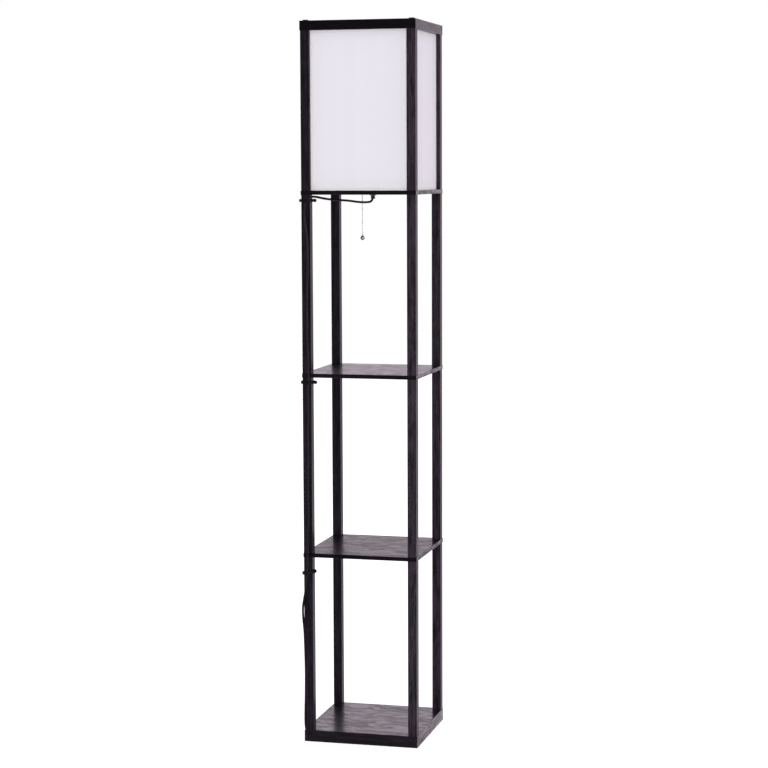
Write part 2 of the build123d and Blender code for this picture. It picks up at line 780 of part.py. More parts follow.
# Plug: a tapered strain relief, a rounded moulded body and two flat blades.
plug_start = Vector(*cord_route[-1])
plug_plane = Plane(origin=plug_start, x_dir=(0, 1, 0), z_dir=(1, 0, 0))
with BuildPart() as plug_strain_relief:
    with BuildSketch(plug_plane):
        Circle(relief_end_radius)
    with BuildSketch(plug_plane.offset(relief_length)):
        Circle(relief_plug_radius)
    loft()
finish(plug_strain_relief, "plug_strain_relief")

with BuildPart() as plug_body:
    with BuildSketch(plug_plane.offset(relief_length)):
        RectangleRounded(plug_width, plug_height, plug_corner_radius)
    extrude(amount=plug_length)
    fillet(plug_body.faces().sort_by(Axis.X)[0].edges(), plug_corner_radius / 2)
    with BuildSketch(plug_plane.offset(relief_length + plug_length - blade_root)):
        with Locations((blade_spacing / 2, 0), (-blade_spacing / 2, 0)):
            Rectangle(blade_thickness, blade_height)
    extrude(amount=blade_root, mode=Mode.SUBTRACT)
finish(plug_body, "plug_body")

with BuildPart() as plug_blades:
    with BuildSketch(plug_plane.offset(relief_length + plug_length - blade_root)):
        with Locations((blade_spacing / 2, 0), (-blade_spacing / 2, 0)):
            Rectangle(blade_thickness, blade_height)
    extrude(amount=blade_root + blade_length)
    tips = plug_blades.faces().group_by(Axis.X)[-1].edges().filter_by(Axis.Z)
    chamfer(tips, blade_thickness / 4)
finish(plug_blades, "plug_blades")
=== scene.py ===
"""A shelf floor lamp: black wood-grain posts and boards, a white box shade, a pull chain, a cord.

Metres, in the part's own frame. The origin is the middle of the base's underside, +Z is up and
the front is -Y. The sections follow the lamp from the base to the bulb, then the cord.
"""

import math

import bmesh
import bpy
import numpy as np
from mathutils import Matrix, Vector


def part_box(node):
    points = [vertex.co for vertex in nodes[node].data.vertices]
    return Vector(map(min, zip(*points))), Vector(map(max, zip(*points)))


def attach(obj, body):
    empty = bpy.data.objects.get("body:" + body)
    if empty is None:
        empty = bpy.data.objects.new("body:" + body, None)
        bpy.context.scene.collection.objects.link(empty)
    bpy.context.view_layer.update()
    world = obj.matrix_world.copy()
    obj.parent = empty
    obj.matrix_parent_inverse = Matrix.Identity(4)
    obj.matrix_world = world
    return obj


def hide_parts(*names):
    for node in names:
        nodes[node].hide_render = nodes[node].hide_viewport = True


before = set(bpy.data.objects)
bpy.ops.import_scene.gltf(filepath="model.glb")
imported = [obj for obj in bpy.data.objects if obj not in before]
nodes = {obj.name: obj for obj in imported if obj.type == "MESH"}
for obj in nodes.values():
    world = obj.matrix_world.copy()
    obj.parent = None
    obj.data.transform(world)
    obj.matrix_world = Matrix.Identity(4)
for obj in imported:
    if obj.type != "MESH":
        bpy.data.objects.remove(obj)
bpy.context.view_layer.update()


# ------------------------------------------------------------------ The view
# A long lens at chest height, a little to the right of the lamp's front and looking slightly
# down. The camera stands upright to a quarter of a degree.
view_place = Vector((1.206631, -4.612409, 1.278738))
view_yaw = math.radians(-14.3833)
view_pitch = math.radians(-5.7768)
view_roll = math.radians(-0.2195)
level_right = Vector((math.cos(view_yaw), -math.sin(view_yaw), 0))
ahead = Vector((
    math.sin(view_yaw) * math.cos(view_pitch),
    math.cos(view_yaw) * math.cos(view_pitch),
    math.sin(view_pitch),
))
level_up = level_right.cross(ahead)
right = level_right * math.cos(view_roll) + level_up * math.sin(view_roll)
up = level_up * math.cos(view_roll) - level_right * math.sin(view_roll)
lens = bpy.data.cameras.new("view")
lens.sensor_fit = "HORIZONTAL"
lens.sensor_width = 36
lens.lens = 99.654
lens.clip_end = 100
camera = bpy.data.objects.new("view", lens)
camera.matrix_world = Matrix.Translation(view_place) @ Matrix((right, up, -ahead)).transposed().to_4x4()
bpy.context.scene.collection.objects.link(camera)
bpy.context.scene.camera = camera
bpy.context.scene.view_settings.view_transform = "Standard"


# ------------------------------------------------------------------ The studio
# A white sweep lit evenly all round, with three soft lamps. What shines in the lacquer and the
# metal is another room: in front of the lamp and above the floor it is dark, but for one bright
# sheet on the right, so black fronts stay black.
class Wire:
    """One output of a node. Adding, multiplying and so on make the Math nodes for it."""

    def __init__(self, tree, socket):
        self.tree = tree
        self.socket = socket

    def maths(self, operation, first, second):
        sockets = {0: first, 1: second}
        return add_node(self.tree, "ShaderNodeMath", {"operation": operation}, sockets)

    def __add__(self, other):
        return self.maths("ADD", self, other)

    def __radd__(self, other):
        return self.maths("ADD", other, self)

    def __sub__(self, other):
        return self.maths("SUBTRACT", self, other)

    def __rsub__(self, other):
        return self.maths("SUBTRACT", other, self)

    def __mul__(self, other):
        return self.maths("MULTIPLY", self, other)

    def __rmul__(self, other):
        return self.maths("MULTIPLY", other, self)

    def step(self, low, high):
        """0 below low and 1 above high, in a smooth ramp between the two."""
        sockets = {"Value": self, "From Min": low, "From Max": high}
        settings = {"interpolation_type": "SMOOTHSTEP"}
        return add_node(self.tree, "ShaderNodeMapRange", settings, sockets)


def add_node(tree, kind, settings=None, sockets=None, output=0):
    """Any node: its settings first, then a value or a wire for each socket. Returns an output."""
    made = tree.nodes.new(kind)
    for name, value in (settings or {}).items():
        setattr(made, name, value)
    for name, value in (sockets or {}).items():
        if isinstance(value, Wire):
            tree.links.new(value.socket, made.inputs[name])
        else:
            made.inputs[name].default_value = value
    return Wire(tree, made.outputs[output]) if made.outputs else None


plain_white = (1, 1, 1, 1)
room_light = 0.75
room_tint = (1, 0.985, 1, 1)
dark_front_edge = (0.25, 0.75)
dark_floor_line = (-0.06, 0.03)
dark_front_light = 0.035
soft_box_heading = Vector((0.60, -0.78, 0.16))
soft_box_edge = (0.857, 0.891)
soft_box_light = 4.0
glossy_tint = (1.0, 0.865, 0.98, 1)
world = bpy.data.worlds.new("studio")
bpy.context.scene.world = world
world.use_nodes = True
sky = world.node_tree
sky.nodes.clear()
by_eye = add_node(sky, "ShaderNodeLightPath", output="Is Camera Ray")
in_gloss = add_node(sky, "ShaderNodeLightPath", output="Is Glossy Ray")
through_glass = add_node(sky, "ShaderNodeLightPath", output="Is Transmission Ray")
heading = add_node(sky, "ShaderNodeTexCoord", output="Generated")
heading_y = add_node(sky, "ShaderNodeSeparateXYZ", sockets={0: heading}, output="Y")
heading_z = add_node(sky, "ShaderNodeSeparateXYZ", sockets={0: heading}, output="Z")
in_front = (heading_y * -1).step(*dark_front_edge) * heading_z.step(*dark_floor_line)
to_soft_box = add_node(sky, "ShaderNodeVectorMath", {"operation": "DOT_PRODUCT"},
                       {0: heading, 1: soft_box_heading.normalized()}, output="Value")
in_soft_box = to_soft_box.step(*soft_box_edge)
dark_part = in_front * (1 - in_soft_box) * (1 - dark_front_light)
shown = 1 + in_gloss * (in_soft_box * (soft_box_light - 1) - dark_part)
tint = add_node(sky, "ShaderNodeMix", {"data_type": "RGBA"},
                {0: in_gloss, 6: plain_white, 7: glossy_tint}, output=2)
white = add_node(sky, "ShaderNodeBackground", sockets={"Color": tint, "Strength": shown})
soft = add_node(sky, "ShaderNodeBackground", sockets={"Color": room_tint, "Strength": room_light})
looked_at = add_node(sky, "ShaderNodeMath", {"operation": "MAXIMUM"}, {0: by_eye, 1: in_gloss})
looked_at = add_node(sky, "ShaderNodeMath", {"operation": "MAXIMUM"}, {0: looked_at, 1: through_glass})
both = add_node(sky, "ShaderNodeMixShader", sockets={0: looked_at, 1: soft, 2: white})
add_node(sky, "ShaderNodeOutputWorld", sockets={"Surface": both})

# Three soft lamps that don't show in the gloss: in front, on the right, and behind on the left.
lamp_aim = Vector((0, 0, 1.1))
lamp_side = 0.7
lamps = [
    ("front_lamp", Vector((0.3, -4.1, 1.25)), 32),
    ("right_lamp", Vector((3.9, -0.5, 1.3)), 20),
    ("back_lamp", Vector((-2.8, 2.8, 1.3)), 32),
]
for lamp_name, lamp_place, lamp_watts in lamps:
    lamp_data = bpy.data.lights.new(lamp_name, "AREA")
    lamp_data.size = lamp_side
    lamp_data.energy = lamp_watts
    soft_lamp = bpy.data.objects.new(lamp_name, lamp_data)
    facing = (lamp_aim - lamp_place).to_track_quat("-Z", "Y").to_matrix().to_4x4()
    soft_lamp.matrix_world = Matrix.Translation(lamp_place) @ facing
    soft_lamp.visible_glossy = False
    bpy.context.scene.collection.objects.link(soft_lamp)

# The floor: a white disc that keeps a faint shadow under the base. Its glow brings it up to white
# for the eye. Behind the lamp a weaker, tinted glow shows in the lacquer and the metal.
floor_radius = 9.0
floor_steps = 96
floor_colour = (0.78, 0.72, 0.77, 1)
floor_glow = 0.62
floor_glow_mirrored = 0.34
behind_lamp = (-0.2, 0.1)
turn = np.linspace(0, 2 * np.pi, floor_steps, endpoint=False)
floor_points = np.column_stack([np.cos(turn), np.sin(turn), np.zeros(floor_steps)]) * floor_radius
floor_mesh = bpy.data.meshes.new("floor")
floor_mesh.from_pydata(floor_points.tolist(), [], [list(range(floor_steps))])
floor = bpy.data.objects.new("floor", floor_mesh)
bpy.context.scene.collection.objects.link(floor)
floor_paint = bpy.data.materials.new("floor_white")
floor_paint.use_nodes = True
paper = floor_paint.node_tree
paper.nodes.clear()
matt = add_node(paper, "ShaderNodeBsdfDiffuse", sockets={"Color": floor_colour})
seen = add_node(paper, "ShaderNodeLightPath", output="Is Camera Ray")
mirrored = add_node(paper, "ShaderNodeLightPath", output="Is Glossy Ray")
floor_spot = add_node(paper, "ShaderNodeTexCoord", output="Object")
behind = add_node(paper, "ShaderNodeSeparateXYZ", sockets={0: floor_spot}, output="Y").step(*behind_lamp)
glow_tint = add_node(paper, "ShaderNodeMix", {"data_type": "RGBA"},
                     {0: mirrored, 6: plain_white, 7: glossy_tint}, output=2)
glow_strength = seen * floor_glow + mirrored * behind * floor_glow_mirrored
glow = add_node(paper, "ShaderNodeEmission", sockets={"Color": glow_tint, "Strength": glow_strength})
lit = add_node(paper, "ShaderNodeAddShader", sockets={0: matt, 1: glow})
add_node(paper, "ShaderNodeOutputMaterial", sockets={"Surface": lit})
floor_mesh.materials.append(floor_paint)


# ------------------------------------------------------------------ Base, boards, posts, rails
# Board wrapped in black wood-grain foil under a satin lacquer. The grain runs along the posts and
# the rails, from side to side on the boards, and along the boards' two side edges. The right-hand
# posts have a paler copy of the foil: painted light, for the light that falls on them from the right.
class Finish:
    """A material with one Principled shader, in which node() adds any other node."""

    def __init__(self, name, values):
        self.material = bpy.data.materials.new(name)
        self.material.use_nodes = True
        self.tree = self.material.node_tree
        self.shader = self.tree.nodes["Principled BSDF"]
        self.set(values)

    def set(self, values):
        """Values or wires for the shader's sockets."""
        for name, value in values.items():
            if isinstance(value, Wire):
                self.tree.links.new(value.socket, self.shader.inputs[name])
            else:
                self.shader.inputs[name].default_value = value

    def node(self, kind, settings=None, sockets=None, output=0):
        return add_node(self.tree, kind, settings, sockets, output)

    def place(self, stretch=(1, 1, 1)):
        """The point on the piece, in metres, with each axis multiplied by its stretch."""
        point = self.node("ShaderNodeTexCoord", output="Object")
        return self.node("ShaderNodeMapping", sockets={"Vector": point, "Scale": stretch})

    def noise(self, place, scale, detail=3.0, roughness=0.5, distortion=0.0):
        """Cloudy noise from 0 to 1, with about scale clouds to the metre."""
        sockets = {"Vector": place, "Scale": scale, "Detail": detail, "Roughness": roughness,
                   "Distortion": distortion}
        return self.node("ShaderNodeTexNoise", sockets=sockets)

    def blend(self, amount, first, second):
        """The first colour where amount is 0, the second where it is 1."""
        sockets = {0: amount, 6: first, 7: second}
        return self.node("ShaderNodeMix", {"data_type": "RGBA"}, sockets, output=2)

    def bump(self, height, distance, strength):
        """Relief: a height of 1 stands up by distance, in metres, and strength softens it."""
        sockets = {"Height": height, "Distance": distance, "Strength": strength}
        self.set({"Normal": self.node("ShaderNodeBump", sockets=sockets)})


def coat(node_names, finish):
    """Gives CAD nodes a finish in all their material slots."""
    for node_name in node_names:
        for holder in nodes[node_name].material_slots:
            holder.material = finish.material


grain_dark = (0.0035, 0.0026, 0.0035, 1)
grain_light = (0.0125, 0.0096, 0.0145, 1)
grain_left = (0.0180, 0.0138, 0.0215, 1)
# Painted light: the right-hand posts' paler grain colour stands for the light from the right.
grain_right_painted_light = (0.0430, 0.0325, 0.0455, 1)
facing_edge = (0.4, 0.7)
streak_length = 26
streaks_per_metre = 210
figure_length = 4.5
figures_per_metre = 78
pores_per_metre = 760
foil_relief = 0.00012


def wood_foil(name, along, gloss, depth, lacquer, edge_gloss, lighter):
    """Black foil: wide and narrow streaks and short pores, drawn out along one axis.

    depth is how much of the lighter colour the streaks show. The clear lacquer over the foil is
    thicker along the wide streaks, which show in a low reflection. The edges that face the front
    and the back are banded with a duller strip, which has edge_gloss of that lacquer.
    """
    foil = Finish(name, {"Specular IOR Level": gloss, "Coat Roughness": 0.20})
    facing = foil.node("ShaderNodeTexCoord", output="Normal")
    facing_x = foil.node("ShaderNodeSeparateXYZ", sockets={0: facing}, output="X")
    facing_y = foil.node("ShaderNodeSeparateXYZ", sockets={0: facing}, output="Y")
    side_face = foil.node("ShaderNodeMath", {"operation": "ABSOLUTE"}, {0: facing_x}).step(*facing_edge)
    banded = foil.node("ShaderNodeMath", {"operation": "ABSOLUTE"}, {0: facing_y}).step(*facing_edge)

    def drawn_out(length):
        """The point on the piece, squeezed along the grain. On a board's sides the grain is in Y."""
        on_top = foil.place([1 / length if axis == along else 1 for axis in range(3)])
        on_side = foil.place([1 / length if axis == max(along, 1) else 1 for axis in range(3)])
        sockets = {0: side_face, 4: on_top, 5: on_side}
        return foil.node("ShaderNodeMix", {"data_type": "VECTOR"}, sockets, output=1)

    streaks = foil.noise(drawn_out(streak_length), streaks_per_metre, 6, 0.62, 0.5)
    figure = foil.noise(drawn_out(figure_length), figures_per_metre, 4, 0.6, 1.4)
    pores = foil.noise(drawn_out(streak_length), pores_per_metre, 2, 0.5).step(0.60, 0.68)
    tone = (streaks.step(0.32, 0.70) * 0.75 + figure.step(0.35, 0.70) * 0.45) * (1 - pores * 0.7)
    thickness = (figure.step(0.42, 0.58) * 0.8 + 0.2) * (1 - pores * 0.6)
    foil.set({
        "Base Color": foil.blend(tone * depth, grain_dark, lighter),
        "Roughness": 0.25 + streaks * 0.10 + pores * 0.14,
        "Coat Weight": thickness * (1 - banded * (1 - edge_gloss)) * lacquer,
    })
    foil.bump(streaks * 0.35 + figure * 0.5 - pores, foil_relief, 0.5)
    return foil


tiers = ("post_lower_", "post_middle_", "post_upper_", "shade_post_")
left_posts = [tier + corner for tier in tiers for corner in ("front_left", "back_left")]
right_posts = [tier + corner for tier in tiers for corner in ("front_right", "back_right")]
# Each foil's name, grain axis, gloss, depth, lacquer, edge gloss, lighter colour and nodes.
foils = [
    ("black_foil_base", 0, 0.12, 1.2, 0.85, 0.15, grain_light, ["base_board"]),
    ("black_foil_lower", 0, 0.04, 0.6, 0.55, 0.0, grain_light, ["shelf_lower"]),
    ("black_foil_shelf", 0, 0.08, 0.6, 0.60, 0.0, grain_light, ["shelf_middle", "lamp_board"]),
    ("black_foil_rail", 0, 0.08, 0.1, 0.05, 1.0, grain_light, ["top_rail_front", "top_rail_back"]),
    ("black_foil_deep", 1, 0.12, 0.5, 0.20, 1.0, grain_light, ["top_rail_left", "top_rail_right"]),
    ("black_foil_left_posts", 2, 0.06, 1.2, 0.04, 1.0, grain_left, left_posts),
    # Painted light: a paler copy of the post foil, for the light on the right-hand posts.
    ("black_foil_right_posts", 2, 0.07, 1.2, 0.04, 1.0, grain_right_painted_light, right_posts),
]
for *foil_values, wrapped_nodes in foils:
    coat(wrapped_nodes, wood_foil(*foil_values))


# ------------------------------------------------------------------ Bolts and studs
# Zinc-plated steel where it is hidden. The four low round heads on the top frame are blackened
# to match the wood, and each has a hexagon socket.
tarnished_share = 0.72
polish_relief = 0.00001


def brushed_metal(name, colour, roughness, spread=0.08, scale=900):
    """Metal with fine uneven polish: small cloudy changes of colour and roughness."""
    metal = Finish(name, {"Metallic": 1.0})
    cloud = metal.noise(metal.place(), scale, 4, 0.6)
    tarnish = metal.noise(metal.place(), scale / 9, 3, 0.55).step(0.35, 0.75)
    darker = tuple(part * tarnished_share for part in colour)
    metal.set({
        "Base Color": metal.blend(tarnish, (*colour, 1), (*darker, 1)),
        "Roughness": roughness + cloud * spread + tarnish * spread,
    })
    metal.bump(cloud, polish_relief, 0.6)
    return metal


zinc = brushed_metal("zinc_plate", (0.60, 0.61, 0.63), 0.30)
black_steel = brushed_metal("black_steel", (0.030, 0.028, 0.031), 0.32)
black_steel.set({"Metallic": 0.35})
coat(["base_bolts", "studs_shelf_lower", "studs_shelf_middle", "studs_lamp_board"], zinc)
coat(["top_bolts"], black_steel)


# ------------------------------------------------------------------ Shade panels
# Stiff white translucent sheet, matt, 2 mm thick, held in grooves in the posts. A faint grain
# runs up it, and it shows more on the two sides than on the front and the back.
sheet_white = (0.885, 0.885, 0.930, 1)
sheet_shade = (0.785, 0.780, 0.830, 1)
# Painted light: near its edges the sheet's colour is lightened towards this white, against the frame's
# shade.
painted_edge_light_white = (1.0, 1.0, 1.0, 1)
sheet_glow_depth = 0.002
painted_light_reach = 0.018
sheet_half_width = 0.110
sheet_low, sheet_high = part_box("shade_panel_front")
sheet_middle = (sheet_low[2] + sheet_high[2]) / 2
sheet_half_height = (sheet_high[2] - sheet_low[2]) / 2
streak_squeeze = (1, 1, 0.012)
fibre_squeeze = (1, 1, 0.35)
sheet_relief = 0.00003


def white_sheet(name, across, per_metre, contrast):
    """Translucent white plastic, with per_metre upright streaks that are darker by contrast.

    across is the axis that the sheet is wide along. Within a finger's width of its edges the
    sheet's colour is lightened: painted light, which makes up for the shade of the posts and rails.
    """
    plastic = Finish(name, {
        "Specular IOR Level": 0.35,
        "Subsurface Weight": 0.08,
        "Subsurface Radius": (sheet_glow_depth, sheet_glow_depth, sheet_glow_depth),
        "Subsurface Scale": 1.0,
    })
    streaks = plastic.noise(plastic.place(streak_squeeze), per_metre, 3, 0.6)
    cloud = plastic.noise(plastic.place(), 9, 2, 0.5)
    fibres = plastic.noise(plastic.place(fibre_squeeze), 700, 3, 0.6)
    side = plastic.node("ShaderNodeSeparateXYZ", sockets={0: plastic.place()}, output=across)
    height = plastic.node("ShaderNodeSeparateXYZ", sockets={0: plastic.place()}, output="Z")
    from_side = plastic.node("ShaderNodeMath", {"operation": "ABSOLUTE"}, {0: side})
    from_middle = plastic.node("ShaderNodeMath", {"operation": "ABSOLUTE"}, {0: height - sheet_middle})
    # Painted light: the colour turns paler close to the sheet's sides and ends, where the frame shades it.
    painted_light_sides = from_side.step(sheet_half_width - painted_light_reach, sheet_half_width)
    painted_light_ends = from_middle.step(sheet_half_height - painted_light_reach, sheet_half_height)
    painted_edge_light = plastic.node("ShaderNodeMath", {"operation": "MAXIMUM"}, {0: painted_light_sides, 1: painted_light_ends})
    tone = (streaks.step(0.3, 0.7) * 0.6 + cloud * 0.4) * contrast
    plastic.set({
        "Base Color": plastic.blend(painted_edge_light, plastic.blend(tone, sheet_white, sheet_shade), painted_edge_light_white),
        "Roughness": 0.46 + fibres * 0.12,
    })
    plastic.bump(fibres * 0.3 + streaks * contrast, sheet_relief, 0.5)
    return plastic


coat(["shade_panel_front", "shade_panel_back"], white_sheet("white_sheet", "X", 70, 0.16))
coat(["shade_panel_left", "shade_panel_right"], white_sheet("white_sheet_streaked", "Y", 46, 1.0))


# ------------------------------------------------------------------ Threaded nipple
# A dark steel tube with a 1 mm thread cut over its whole length. It clamps the lampholder to
# the lamp board between two nuts, and its lower end shows below the board.
def grid_faces(rows, columns, first, closed_rows, closed_columns):
    """Four-sided faces between the neighbours in a grid of points that are numbered from first.

    Closing the rows or the columns joins the last one to the first. Returns the index grid too.
    """
    index = np.arange(rows * columns).reshape(rows, columns) + first
    if closed_columns:
        index = np.column_stack([index, index[:, 0]])
    if closed_rows:
        index = np.vstack([index, index[:1]])
    corners = [index[:-1, :-1], index[:-1, 1:], index[1:, 1:], index[1:, :-1]]
    return np.stack(corners, axis=-1).reshape(-1, 4).tolist(), index


seam_gap = 2e-7


def piece(name, skins, finish, body, replaced, crease=32):
    """One object from several skins, each a grid of points with how its rows and columns close.

    A skin is (points, rows closed, columns closed, ends filled). Rows run along the piece and
    columns round it. Points that meet at seams and poles are merged, faces point outwards, and
    edges sharper than crease degrees stay sharp.
    """
    points, faces, first = [], [], 0
    for grid, closed_rows, closed_columns, filled in skins:
        rows, columns = grid.shape[:2]
        quads, index = grid_faces(rows, columns, first, closed_rows, closed_columns)
        faces += quads
        if filled:
            faces += [index[0, :columns].tolist(), index[-1, :columns].tolist()]
        points.append(grid.reshape(-1, 3))
        first += rows * columns
    mesh = bpy.data.meshes.new(name)
    mesh.from_pydata(np.concatenate(points).tolist(), [], faces)
    shell = bmesh.new()
    shell.from_mesh(mesh)
    bmesh.ops.remove_doubles(shell, verts=shell.verts, dist=seam_gap)
    bmesh.ops.recalc_face_normals(shell, faces=shell.faces)
    shell.to_mesh(mesh)
    shell.free()
    mesh.shade_smooth()
    mesh.set_sharp_from_angle(angle=math.radians(crease))
    mesh.materials.append(finish.material)
    made = bpy.data.objects.new(name, mesh)
    bpy.context.scene.collection.objects.link(made)
    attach(made, body)
    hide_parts(replaced)
    return made


def turned(profile, centre=(0.0, 0.0), steps=64, closed=True):
    """A lathe shape: (radius, height) pairs carried round an upright axis."""
    profile = np.asarray(profile, float)
    angle = np.linspace(0, 2 * np.pi, steps, endpoint=False)
    grid = np.empty((len(profile), steps, 3))
    grid[..., 0] = centre[0] + profile[:, :1] * np.cos(angle)
    grid[..., 1] = centre[1] + profile[:, :1] * np.sin(angle)
    grid[..., 2] = profile[:, 1:]
    return grid, closed, True, False


def threaded(bottom, top, crest, depth, pitch, bore, steps=48, per_turn=8, sharp=True):
    """A threaded tube. Its radius is the crest less depth times a wave of (height / pitch - turn).

    The wave is a zigzag where sharp and a cosine where not, and it fades out near the two ends.
    Inside, the wall goes back down at the bore's radius, or follows the thread where it is thin.
    """
    rows = max(3, int(round((top - bottom) / pitch * per_turn)) + 1)
    height = np.linspace(bottom, top, rows)[:, None]
    angle = np.linspace(0, 2 * np.pi, steps, endpoint=False)[None, :]
    phase = (height / pitch - angle / (2 * np.pi)) % 1.0
    wave = np.abs(2 * phase - 1) if sharp else 0.5 + 0.5 * np.cos(2 * np.pi * phase)
    run_out = np.clip(np.minimum(height - bottom, top - height) / (0.6 * pitch), 0, 1)
    outer = crest - depth * (1 - wave * run_out)
    inner = outer - (crest - bore) if bore > crest - 2 * depth else np.full_like(outer, bore)
    grid = np.empty((2 * rows, steps, 3))
    radius = np.vstack([outer, inner[::-1]])
    level = np.vstack([height, height[::-1]])
    grid[..., 0] = radius * np.cos(angle)
    grid[..., 1] = radius * np.sin(angle)
    grid[..., 2] = level
    return grid, True, True, False


board_bottom = 1.223
board_top = 1.232
nipple_radius = 0.0050
nipple_bore = 0.0036
nipple_bottom = board_bottom - 0.009
nipple_top = board_top + 0.008
nipple_pitch = 0.001
nipple_thread = 0.00045
dark_steel = brushed_metal("dark_steel", (0.19, 0.18, 0.18), 0.13, 0.04, 1500)
nipple_skin = threaded(nipple_bottom, nipple_top, nipple_radius, nipple_thread, nipple_pitch, nipple_bore)
piece("threaded_nipple_cut", [nipple_skin], dark_steel, "stand", "threaded_nipple", 60)


# ------------------------------------------------------------------ Nipple nuts
# Two thin steel hexagon nuts with chamfered corners, one below the board and one in the
# lampholder. Screwed tight, they clamp the holder's cap and the board.
nut_flats = 0.014
nut_thickness = 0.003
nut_clearance = 0.0001
nut_bore = nipple_radius + nut_clearance
nut_mouth_flare = 0.0004
chamfer_foot = 0.97
chamfer_slope = 1.75
cap_floor = 0.001


def hexagon_nut(bottom, steps=96):
    """A nut: at each angle its radius is the hexagon's, half the flats over the cosine of the angle
    from the nearest flat, or that of a cone which widens away from each face, if that is less."""
    angle = np.linspace(0, 2 * np.pi, steps, endpoint=False)
    to_flat = (angle + np.pi / 6) % (np.pi / 3) - np.pi / 6
    hexagon = nut_flats / 2 / np.cos(to_flat)
    levels = np.array([0.0, 0.08, 0.2, 0.8, 0.92, 1.0])
    from_face = np.minimum(levels, 1 - levels) * nut_thickness
    cone = nut_flats / 2 * chamfer_foot + from_face * chamfer_slope
    outer = np.minimum(hexagon[None, :], cone[:, None])
    mouth = np.array([nut_bore + nut_mouth_flare, nut_bore, nut_bore, nut_bore + nut_mouth_flare])
    mouth_levels = np.array([1.0, 0.86, 0.14, 0.0])
    radius = np.vstack([outer, np.repeat(mouth[:, None], steps, axis=1)])
    level = np.concatenate([levels, mouth_levels]) * nut_thickness + bottom
    grid = np.empty((len(level), steps, 3))
    grid[..., 0] = radius * np.cos(angle)
    grid[..., 1] = radius * np.sin(angle)
    grid[..., 2] = level[:, None]
    return grid, True, True, False


nut_skins = [hexagon_nut(board_bottom - nut_thickness), hexagon_nut(board_top + cap_floor)]
piece("nipple_nuts_hex", nut_skins, dark_steel, "stand", "nipple_nuts", 20)


# ------------------------------------------------------------------ Cord bushing and chain grommet
# Black nylon collars with rounded lips, pushed in from below: one in the nipple's mouth, to save
# the cord from its edge, and one in the board, for the chain.
flow_squeeze = (1, 1, 0.3)
peel_relief = 0.00003


def moulded(name, colour, roughness, scale=420, specular=0.5):
    """Moulded plastic: an even colour with a fine orange-peel surface and faint flow marks."""
    plastic = Finish(name, {"Specular IOR Level": specular})
    peel = plastic.noise(plastic.place(), scale, 3, 0.5)
    flow = plastic.noise(plastic.place(flow_squeeze), scale / 8, 3, 0.6, 0.8)
    lighter = tuple(part * 1.7 + 0.002 for part in colour)
    plastic.set({
        "Base Color": plastic.blend(flow.step(0.35, 0.8), (*colour, 1), (*lighter, 1)),
        "Roughness": roughness + peel * 0.10,
    })
    plastic.bump(peel, peel_relief, 0.5)
    return plastic


nylon = moulded("black_nylon", (0.0030, 0.0026, 0.0030), 0.42, specular=0.08)
bushing_mouth = nipple_bottom - 0.0012
bushing_profile = [
    (0.0026, nipple_bottom + 0.0070), (0.0034, nipple_bottom + 0.0070), (0.00355, nipple_bottom + 0.0066),
    (0.00355, nipple_bottom), (0.0056, nipple_bottom), (0.0056, bushing_mouth + 0.0007),
    (0.0054, bushing_mouth + 0.0002), (0.0049, bushing_mouth), (0.0041, bushing_mouth + 0.0001),
    (0.0036, bushing_mouth + 0.0005), (0.0032, nipple_bottom + 0.0006), (0.0028, nipple_bottom + 0.0024),
    (0.0026, nipple_bottom + 0.0042),
]
piece("cord_bushing_flared", [turned(bushing_profile)], nylon, "stand", "cord_bushing")

chain_x = -0.0246
grommet_profile = [
    (0.0030, board_top), (0.0034, board_top), (0.0049, board_top), (0.0049, board_bottom),
    (0.0060, board_bottom), (0.0060, board_bottom - 0.0008), (0.0057, board_bottom - 0.0013),
    (0.0052, board_bottom - 0.0015), (0.0039, board_bottom - 0.0015), (0.0033, board_bottom - 0.0011),
    (0.0030, board_bottom - 0.0005),
]
piece("chain_grommet_eyelet", [turned(grommet_profile, (chain_x, 0))], nylon, "stand", "chain_grommet")


# ------------------------------------------------------------------ Lampholder
# A spun brass cap and a beaded shell round a moulded block, with a threaded cup for the bulb.
# The lever that the chain pulls pokes out of a slot in the cap's left side.
brass = brushed_metal("holder_brass", (0.72, 0.50, 0.22), 0.20, 0.08, 700)
bakelite = moulded("black_bakelite", (0.012, 0.009, 0.008), 0.22)
coat(["holder_cap", "pull_lever", "centre_contact"], brass)
coat(["lever_pin"], zinc)
coat(["switch_block"], bakelite)

cap_top = board_top + 0.026
shell_top = cap_top + 0.034
shell_out = 0.0180
shell_in = 0.0170
shell_edge = shell_out - 0.0002
shell_bead = 0.0011
rib_pitch = 0.0052
rib_depth = 0.00022
rib_margin = 0.0040
# A half-round bead at each end of the shell, and between them ribs that follow a cosine of height.
bead_turn = np.linspace(-np.pi / 2, np.pi / 2, 9)
bead_out = shell_out + shell_bead * np.cos(bead_turn)
bead_rise = shell_bead * np.sin(bead_turn)
lower_bead = np.column_stack([bead_out, cap_top + shell_bead + bead_rise])
upper_bead = np.column_stack([bead_out, shell_top - shell_bead + bead_rise])
rib_height = np.linspace(cap_top + rib_margin, shell_top - rib_margin, 61)
rib_wave = rib_depth * np.cos(2 * np.pi * (rib_height - rib_height[0]) / rib_pitch)
ribs = np.column_stack([shell_out - rib_depth + rib_wave, rib_height])
shell_profile = np.vstack([
    [(shell_in, cap_top), (shell_edge, cap_top)], lower_bead, ribs, upper_bead,
    [(shell_edge, shell_top), (shell_in, shell_top)],
])
piece("holder_shell_beaded", [turned(shell_profile, steps=96)], brass, "stand", "holder_shell")

